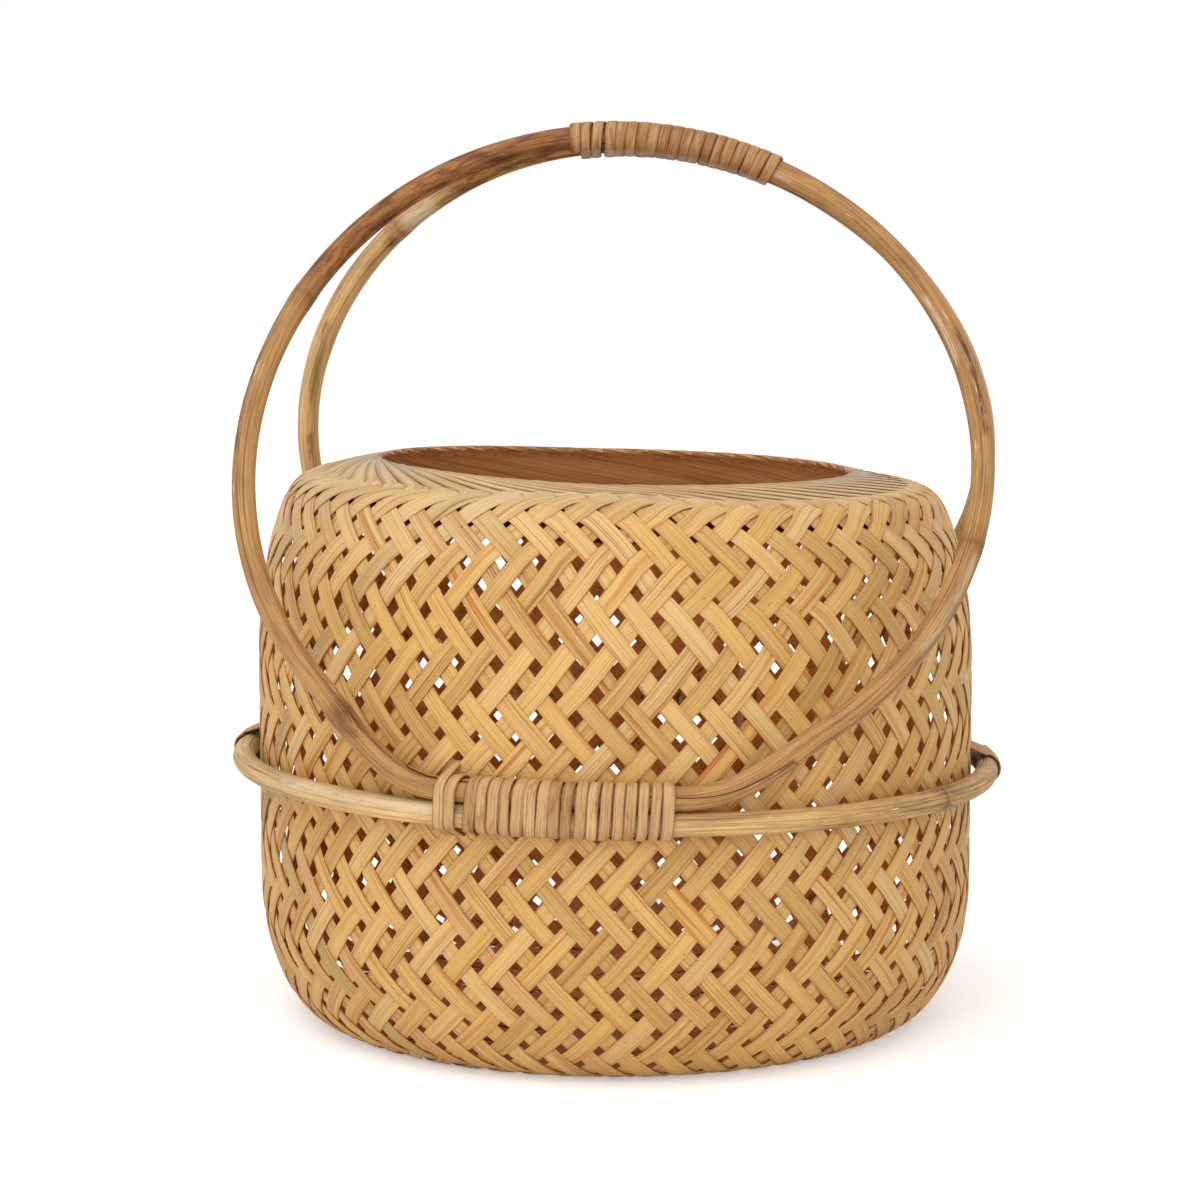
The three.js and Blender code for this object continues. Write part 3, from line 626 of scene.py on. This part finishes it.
def grip_binding(width, thickness, rng):
    """The strand round both rings at the top of the handle."""
    def place(distance, x, y):
        middle, out, up, _ = grip_frame(distance)
        return middle + out * x[..., None] + up * y[..., None]

    def pins(distance):
        _, out, up, half = grip_frame(np.array(distance))
        x, y = float(half @ out), float(half @ up)
        return [(x, y, WINDING_RADIUS), (-x, -y, WINDING_RADIUS)]

    # its turns are pushed closer together than on the other bindings
    tight = 0.95
    runs = [
        (HITCH_TURNS, HITCH_LENGTH * tight, pins),
        (1, (TURN_PITCH + GRIP_SPACE) * tight, pins),
        (GRIP_TURNS - 2, (GRIP_TURNS - 2) * TURN_PITCH * tight, pins),
    ]
    apex = (FRONT_SHIFT + REAR_SHIFT) / 2 - RING_SWAY
    start = GRIP_MIDDLE - apex - GRIP_LENGTH * tight / 2
    return wound_strand(runs, start, place, width, thickness, rng, skip=0.0, extra=0.75)


def add(tree, kind, inputs=None, stops=None, **settings):
    """Adds a shader node with its settings. An input is a value, an output of another node or a node, which
    stands for its first output. stops are the places and colours of a colour ramp."""
    node = tree.nodes.new("ShaderNode" + kind)
    for key, value in settings.items():
        setattr(node, key, value)
    for key, value in (inputs or {}).items():
        socket = node.inputs[key]
        if isinstance(value, bpy.types.Node):
            value = value.outputs[0]
        if isinstance(value, bpy.types.NodeSocket):
            tree.links.new(value, socket)
        else:
            socket.default_value = value
    if stops:
        while len(node.color_ramp.elements) < len(stops):
            node.color_ramp.elements.new(0.5)
        for element, (place, colour) in zip(node.color_ramp.elements, stops):
            element.position, element.color = place, colour
    return node


def new_material(name):
    """An empty node material and its tree."""
    material = bpy.data.materials.new(name)
    material.use_nodes = True
    material.node_tree.nodes.clear()
    return material, material.node_tree


def read_piece(tree, place_key, keys, grains, shift=0.0):
    """What a material is worked out from: the place on the piece, its other attributes, and its noises. A
    noise is its grains in a millimetre along, across and through the piece, its detail and its roughness,
    and shift moves it along."""
    place = add(tree, "Attribute", attribute_name=place_key).outputs["Vector"]
    values = [add(tree, "Attribute", attribute_name=key).outputs["Fac"] for key in keys]
    noises = []
    for grain, detail, roughness in grains:
        spread = add(tree, "Mapping", {"Vector": place, "Location": (shift, 0, 0), "Scale": grain})
        noises.append(add(tree, "TexNoise", {
            "Vector": spread, "Scale": 1.0, "Detail": detail, "Roughness": roughness,
        }))
    return (place, *values), noises


def paint(tree, colour, layers):
    """Lays colours over one another. A layer has its share, its colour and how it is mixed. It may have a
    noise with two levels too: below the first there is nothing of it, above the second its whole share."""
    for share, over, way, *patches in layers:
        if patches:
            noise, low, high = patches
            cut = add(tree, "MapRange", {"Value": noise, "From Min": low, "From Max": high})
            share = add(tree, "Math", {0: cut, 1: share}, operation="MULTIPLY")
        mixed = add(tree, "Mix", {0: share, 6: colour, 7: over}, data_type="RGBA", blend_type=way)
        colour = mixed.outputs[2]
    return colour


def finish_material(tree, colour, fibres, roughness, specular):
    """The shader of one finish: its colour, its roughness and fibres that stand 0.15 mm high."""
    bump = add(tree, "Bump", {"Height": fibres, "Distance": 0.15 * MM, "Strength": 1.0})
    shader = add(tree, "BsdfPrincipled", {
        "Base Color": colour, "Roughness": roughness, "Normal": bump,
        "Specular IOR Level": specular, "IOR": 1.5,
    })
    add(tree, "OutputMaterial", {"Surface": shader})


def build_bamboo(looks):
    """Split bamboo, scraped and dried: honey strips with brown fibre lines 0.4 mm apart, a few orange-brown
    bands along them and small specks, cream where the mouth is bleached, grey where hands rub it, a painted
    brown shade on the inner face, a painted shade with some grime on the laps, and the collar inside the
    mouth lighter and more orange with painted warm bounce light."""
    material, tree = new_material("split_bamboo")
    (_, tone, inner, pale, rubbed, lap, collar_bounce_light), (fibres, bands, specks) = read_piece(
        tree, "strip_place", ("strip_tone", "inner", "pale", "rubbed", "lap", "collar_bounce_light"),
        (((0.010, 2.6, 0.06), 3.0, 0.75), ((0.012, 0.42, 0.06), 3.0, 0.5), ((0.7, 1.1, 0.06), 1.0, 0.5)),
    )
    body = add(tree, "ValToRGB", {"Fac": tone}, stops=[
        (0.0, srgb("#b3a26c")), (0.13, srgb("#c49b57")), (0.5, looks["honey"]), (0.85, srgb("#dab577")),
        (1.0, srgb("#c88c4b")),
    ])
    lines = add(tree, "ValToRGB", {"Fac": fibres}, stops=[
        (0.34, srgb("#9a6430")), (0.49, srgb("#ffffff")), (0.72, srgb("#fff6de")),
    ])
    # the fibre lines show less where the strips are cream
    clear = add(tree, "MapRange", {"Value": pale, "To Min": 0.75, "To Max": 0.5})
    body = paint(tree, body, (
        (pale, srgb("#dac394"), "MIX"),
        # painted warm bounce light lifting the collar inside the mouth
        (collar_bounce_light, srgb("#ffb980"), "MIX"),
        (clear, lines, "MULTIPLY"),
        (1.0, srgb("#dfae76"), "MULTIPLY", bands, 0.54, 0.74),
        (1.0, srgb("#8a6038"), "MULTIPLY", specks, 0.76, 0.8),
        (rubbed, srgb("#b09c8c"), "MIX"),
        # painted shade, with some grime, on the edges where strips lap
        (lap, srgb("#8c5a34"), "MULTIPLY"),
        # painted shade: the inner faces multiplied by the inside colour
        (inner, looks["inside"], "MULTIPLY"),
    ))
    rough = add(tree, "MapRange", {"Value": fibres, "To Min": 0.42, "To Max": 0.62})
    finish_material(tree, body, fibres, rough, 0.4)
    return material


def build_cane(name, colour, dark, shift):
    """Round cane with its skin on: golden brown and satin, with long grey-brown fibre streaks 0.8 mm apart,
    mottled where it was browned, pale where it was scraped and, on the hoop's upper outer side, also with a
    painted highlight, cracked and stained here and there, with a few pale scratches and dark flecks, and
    darker at its nodes. shift moves its patterns from cane to cane."""
    material, tree = new_material(name)
    values, noises = read_piece(tree, "cane_place", ("knot", "browned", "wear_and_highlight", "cracked"), (
        ((0.012, 1.3, 1.3), 4.0, 0.75), ((0.03, 0.25, 0.25), 5.0, 0.6), ((0.09, 0.4, 0.4), 7.0, 0.6),
        ((0.12, 1.6, 1.6), 5.0, 0.7), ((0.16, 0.9, 0.9), 4.0, 0.7), ((0.05, 0.8, 0.8), 2.0, 0.6),
        ((0.5, 1.0, 1.0), 2.0, 0.6),
    ), shift)
    _, knot, browned, wear_and_highlight, cracked = values
    fibres, mottle, blotches, scrapes, splits, scratches, flecks = noises
    light = (*(min(1.0, c * 1.3) for c in colour[:3]), 1.0)
    body = add(tree, "ValToRGB", {"Fac": mottle}, stops=[(0.33, dark), (0.5, colour), (0.72, light)])
    streaks = add(tree, "ValToRGB", {"Fac": fibres}, stops=[(0.36, srgb("#9c7c60")), (0.52, srgb("#ffffff"))])
    body = paint(tree, body, (
        (0.75, streaks, "MULTIPLY"),
        (browned, srgb("#b3906a"), "MULTIPLY", blotches, 0.42, 0.6),
        # pale scraped wear, which on the hoop's upper side is also a painted highlight
        (wear_and_highlight, srgb("#dac8a8"), "MIX", scrapes, 0.36, 0.56),
        (cracked, srgb("#70402c"), "MULTIPLY", splits, 0.4, 0.52),
        (browned, srgb("#e0c8a4"), "MULTIPLY"),
        (1.0, srgb("#dcc7a2"), "MIX", scratches, 0.68, 0.74),
        (1.0, srgb("#6a4426"), "MULTIPLY", flecks, 0.73, 0.77),
        (knot, srgb("#b58a60"), "MULTIPLY"),
    ))
    rough = add(tree, "MapRange", {"Value": mottle, "To Min": 0.4, "To Max": 0.62})
    finish_material(tree, body, fibres, rough, 0.35)
    return material


def build_split_cane(looks):
    """Flat split cane: beige with its skin outwards, fine fibres 0.5 mm apart, brown scars where it had
    leaves, a painted shade on its edges where one turn meets the next, another tone from turn to turn and
    brown grime where hands hold it."""
    material, tree = new_material("split_cane_skin")
    (place, tone, handled), (fibres, stains, scars, grime) = read_piece(
        tree, "strand_place", ("strand_tone", "handled"), (
            ((0.025, 2.0, 1.0), 3.0, 0.7), ((0.05, 0.25, 1.0), 4.0, 0.7), ((0.11, 0.3, 1.0), 5.0, 0.7),
            ((0.04, 0.2, 1.0), 5.0, 0.7),
        ),
    )
    body = add(tree, "ValToRGB", {"Fac": tone}, stops=[
        (0.0, srgb("#ae8452")), (0.5, looks["binding"]), (1.0, srgb("#d2b27f")),
    ])
    lines = add(tree, "ValToRGB", {"Fac": fibres}, stops=[(0.34, srgb("#9c7448")), (0.5, srgb("#ffffff"))])
    across = add(tree, "SeparateXYZ", {"Vector": place}).outputs["Y"]
    aside = add(tree, "Math", {0: across}, operation="ABSOLUTE")
    body = paint(tree, body, (
        (0.75, lines, "MULTIPLY"),
        (1.0, srgb("#c2925e"), "MULTIPLY", stains, 0.52, 0.7),
        (1.0, srgb("#8e6038"), "MULTIPLY", scars, 0.66, 0.72),
        # painted shade on the strand's edges, where one turn meets the next
        (1.0, srgb("#b08a62"), "MULTIPLY", aside, 1.5, 2.1),
        (handled, srgb("#cdb090"), "MULTIPLY", grime, 0.3, 0.62),
    ))
    finish_material(tree, body, fibres, 0.5, 0.35)
    return material


class BasketStrips(bpy.types.PropertyGroup):
    """Sizes and colours of the woven strips."""

    width: FloatProperty(
        name="Strip width", description="Width of a split bamboo strip", default=7.1 * MM, **LENGTH)
    thickness: FloatProperty(
        name="Strip thickness", description="Thickness of a strip", default=0.7 * MM, **LENGTH)
    lift: FloatProperty(
        name="Lift", description="How far a strip rises over one that it crosses", default=0.5 * MM, **LENGTH)
    tilt: FloatProperty(
        name="Tilt at the mouth", description="Slope of a strip where it laps its neighbour", default=0.06)
    honey: FloatVectorProperty(
        name="Strip colour", description="Colour of most strips", default=srgb("#d9ac63"), **COLOUR)
    # the inside colour is the tint of a painted shade on the inner faces
    inside: FloatVectorProperty(
        name="Inside shade colour", description="Painted shade tint of the inner faces", default=srgb("#f0b884"), **COLOUR)


class BasketCanes(bpy.types.PropertyGroup):
    """Colours of the round canes."""

    front: FloatVectorProperty(
        name="Front ring colour", description="Colour of the front ring", default=srgb("#b58850"), **COLOUR)
    rear: FloatVectorProperty(
        name="Rear ring colour", description="Colour of the rear ring", default=srgb("#d0aa72"), **COLOUR)
    hoop: FloatVectorProperty(
        name="Hoop colour", description="Colour of the girdle hoop", default=srgb("#d4ae72"), **COLOUR)


class BasketStrands(bpy.types.PropertyGroup):
    """Sizes and colour of the wound strands."""

    width: FloatProperty(
        name="Strand width", description="Width of the flat cane", default=4.3 * MM, **LENGTH)
    thickness: FloatProperty(
        name="Strand thickness", description="Thickness of the flat cane", default=0.9 * MM, **LENGTH)
    binding: FloatVectorProperty(
        name="Strand colour", description="Colour of the flat cane", default=srgb("#c49d69"), **COLOUR)


class BasketStage(bpy.types.PropertyGroup):
    """Floor and light."""

    floor: FloatVectorProperty(
        name="Floor colour", description="Colour of the floor", default=(0.9, 0.9, 0.9, 1), **COLOUR)
    lamp: FloatProperty(
        name="Lamp power", description="Power of the large soft lamp", default=7.5, unit="POWER")
    fill: FloatProperty(
        name="Fill power", description="Power of the soft fill from the front", default=10.0, unit="POWER")


class BASKET_OT_strips(bpy.types.Operator):
    """Weaves the sixty strips of the body"""

    bl_idname = "basket.strips"
    bl_label = "Woven strips"

    def execute(self, context):
        sizes = context.scene.basket_strips
        profile = wall_profile()
        rows, lengths = row_lengths(profile)
        material = build_bamboo({"honey": tuple(sizes.honey), "inside": tuple(sizes.inside)})
        thickness, lift = sizes.thickness / MM, sizes.lift / MM
        rng = np.random.default_rng(7)
        strips = []
        for turned in (0.0, math.pi / 2):
            for index in range(STRIPS_EACH_WAY):
                line = strip_line(profile, rows, lengths, index, turned, rng)
                width = sizes.width / MM * rng.uniform(0.95, 1.05)
                rings, place = strip_rings(profile, line, width, thickness, lift, sizes.tilt, rng)
                # every strip is cut from another place of the grain
                place[..., 0] += rng.uniform(0, 5000)
                place[..., 2] = rng.uniform(0, 900)
                tone = np.full(rings.shape[:2], rng.beta(2.2, 2.2))
                past_rim = (line["length"] - profile["rim"])[:, None]
                finish = strip_finish(past_rim, line["iris"][:, None], rings, place, width)
                strips.append((rings, {"strip_place": place, "strip_tone": tone, **finish}))
        for piece in range(PIECES_OF_WEAVE):
            part = strips[piece::PIECES_OF_WEAVE]
            show(f"woven_strips_{piece + 1}", part, material, "woven_body")
        return {"FINISHED"}


class BASKET_OT_canes(bpy.types.Operator):
    """Bends the girdle hoop and the two handle rings"""

    bl_idname = "basket.canes"
    bl_label = "Hoop and handle rings"

    def execute(self, context):
        looks = context.scene.basket_canes
        rng = np.random.default_rng(11)
        for name, line, radius, colour, dark, node, slot, nodes, browned, marks in (
            (
                "hoop_cane", hoop_line, HOOP_RADIUS, looks.hoop, "#a88c60", "girdle_hoop", "hoop_cane",
                (0.81, 2.85, 4.09), (0.05, 0.35, 3.6, 5.6), (
                    # the hoop's pale marks lie on its upper outer side: partly wear, partly a painted
                    # highlight
                    (2.15, 2.75, 5.3, 0.55, 0.8), (0.5, 0.9, 5.0, 0.6, 0.7), (4.7, 5.2, 4.9, 0.5, 0.6),
                    (2.85, 3.0, 4.6, 0.9, -0.9),
                ),
            ),
            (
                "front_ring_cane", FRONT_RING, FRONT_HALF_WIDTH, looks.front, "#93693c",
                "front_handle_ring", "ring_cane", (1.31, 4.2, 5.545), (0.12, 1.0, 2.7, 4.2), (
                    (4.26, 4.72, 5.35, 0.22, -1.0), (1.62, 1.97, 6.0, 0.3, -0.9), (1.85, 2.1, 0.8, 0.3, 0.8),
                    (0.95, 1.3, 5.6, 0.35, 0.5), (2.6, 2.9, 0.9, 0.2, 0.6), (5.5, 5.62, 0.0, 1.3, -0.5),
                ),
            ),
            (
                "rear_ring_cane", REAR_RING, REAR_HALF_WIDTH, looks.rear, "#a8834f",
                "rear_handle_ring", "ring_cane", (1.09, 3.85, 5.34), (0.05, 1.0, 2.2, 3.72), (
                    (3.70, 3.842, 0.2, 1.1, 1.0), (3.86, 3.93, 0.2, 0.6, -0.8), (4.2, 4.3, 5.9, 0.3, -0.6),
                    (4.6, 4.72, 0.3, 0.3, -0.6),
                ),
            ),
        ):
            cane = scarfed_cane(line, radius, nodes, browned, marks, rng)
            material = build_cane(name + "_skin", tuple(colour), srgb(dark), rng.uniform(0, 900))
            show(name, [cane], material, node)
        return {"FINISHED"}


class BASKET_OT_strands(bpy.types.Operator):
    """Winds the grip, the two ring bindings and the two side lashings"""

    bl_idname = "basket.strands"
    bl_label = "Bindings and lashings"

    def execute(self, context):
        sizes = context.scene.basket_strands
        width, thickness = sizes.width / MM, sizes.thickness / MM
        rng = np.random.default_rng(5)
        material = build_split_cane({"binding": tuple(sizes.binding)})
        strands = [("grip_strand", "grip_binding", grip_binding(1.04 * width, thickness, rng))]
        for name, node, wind, azimuth in (
            ("front_strand", "front_binding", ring_binding, BINDING_AZIMUTH),
            ("rear_strand", "rear_binding", ring_binding, BINDING_AZIMUTH + math.pi),
            ("right_lashing_strand", "right_lashing", side_lashing, RIGHT_LASHING_AZIMUTH),
            ("left_lashing_strand", "left_lashing", side_lashing, LEFT_LASHING_AZIMUTH),
        ):
            strands.append((name, node, wind(azimuth, width, thickness, rng)))
        for name, node, (rings, values) in strands:
            values["handled"] = np.full(rings.shape[:2], float(name == "grip_strand"))
            show(name, [(rings, values)], material, node)
        return {"FINISHED"}


class BASKET_OT_stage(bpy.types.Operator):
    """Lays the pale floor and sets the soft light and the camera"""

    bl_idname = "basket.stage"
    bl_label = "Floor, light and camera"

    def execute(self, context):
        scene = context.scene
        looks = scene.basket_stage
        material, tree = new_material("pale_floor")
        seen = add(tree, "LightPath").outputs["Is Camera Ray"]
        matt = add(tree, "BsdfDiffuse", {"Color": tuple(looks.floor)})
        glow = add(tree, "Emission", {"Color": (1, 1, 1, 1), "Strength": 0.35})
        lit = add(tree, "AddShader", {0: matt, 1: glow})
        floor_look = add(tree, "MixShader", {0: seen, 1: matt, 2: lit})
        add(tree, "OutputMaterial", {"Surface": floor_look})
        mesh = bpy.data.meshes.new("floor")
        mesh.from_pydata([(-6, -6, 0), (6, -6, 0), (6, 6, 0), (-6, 6, 0)], [], [(0, 1, 2, 3)])
        mesh.materials.append(material)
        floor = bpy.data.objects.new("floor", mesh)
        scene.collection.objects.link(floor)

        world = bpy.data.worlds.new("soft_white_room")
        scene.world = world
        world.use_nodes = True
        tree = world.node_tree
        tree.nodes.clear()
        rays = add(tree, "LightPath").outputs
        seen = rays["Is Camera Ray"]
        for other in ("Is Glossy Ray", "Is Transmission Ray"):
            seen = add(tree, "Math", {0: seen, 1: rays[other]}, operation="MAXIMUM")
        soft = add(tree, "Background", {"Color": (1, 1, 1, 1), "Strength": 0.8})
        white = add(tree, "Background", {"Color": (1, 1, 1, 1), "Strength": 1.0})
        both = add(tree, "MixShader", {0: seen, 1: soft, 2: white})
        add(tree, "OutputWorld", {"Surface": both})

        for name, power, size, place in (
            ("overhead_softbox", looks.lamp, 1.2, (-0.35, -0.7, 1.5)),
            ("front_softbox", looks.fill, 1.4, (-0.3, -1.8, 0.5)),
        ):
            lamp = bpy.data.lights.new(name, "AREA")
            lamp.energy, lamp.size = power, size
            softbox = bpy.data.objects.new(name, lamp)
            softbox.location = place
            aim = Vector((0, 0, 0.15)) - softbox.location
            softbox.rotation_euler = aim.to_track_quat("-Z", "Y").to_euler()
            scene.collection.objects.link(softbox)

        data = bpy.data.cameras.new("camera")
        data.sensor_width, data.lens = CAMERA_SENSOR, CAMERA_LENS
        camera = bpy.data.objects.new("camera", data)
        camera.location = CAMERA_PLACE
        camera.rotation_euler = (math.pi / 2 - CAMERA_TILT, 0, 0)
        scene.collection.objects.link(camera)
        scene.camera = camera
        scene.view_settings.view_transform = "Standard"
        return {"FINISHED"}


class BASKET_PT_panel(bpy.types.Panel):
    """Lists the basket's pieces and their sizes"""

    bl_label = "Bamboo basket"
    bl_idname = "BASKET_PT_panel"
    bl_space_type = "VIEW_3D"
    bl_region_type = "UI"
    bl_category = "Basket"

    def draw(self, context):
        for part in SETTINGS:
            values = getattr(context.scene, "basket_" + part)
            for key in values.__annotations__:
                self.layout.prop(values, key)
            self.layout.operator("basket." + part)


SETTINGS = {"strips": BasketStrips, "canes": BasketCanes, "strands": BasketStrands, "stage": BasketStage}
OPERATORS = (BASKET_OT_strips, BASKET_OT_canes, BASKET_OT_strands, BASKET_OT_stage)
CLASSES = (*SETTINGS.values(), *OPERATORS, BASKET_PT_panel)


def register():
    """Makes the classes and the scene's settings known to Blender."""
    for cls in CLASSES:
        bpy.utils.register_class(cls)
    for part, group in SETTINGS.items():
        setattr(bpy.types.Scene, "basket_" + part, PointerProperty(type=group))


def unregister():
    """Takes them out again."""
    for part in SETTINGS:
        delattr(bpy.types.Scene, "basket_" + part)
    for cls in reversed(CLASSES):
        bpy.utils.unregister_class(cls)


def main():
    register()
    bpy.ops.basket.strips()
    bpy.ops.basket.canes()
    bpy.ops.basket.strands()
    bpy.ops.basket.stage()


if __name__ == "__main__":
    main()
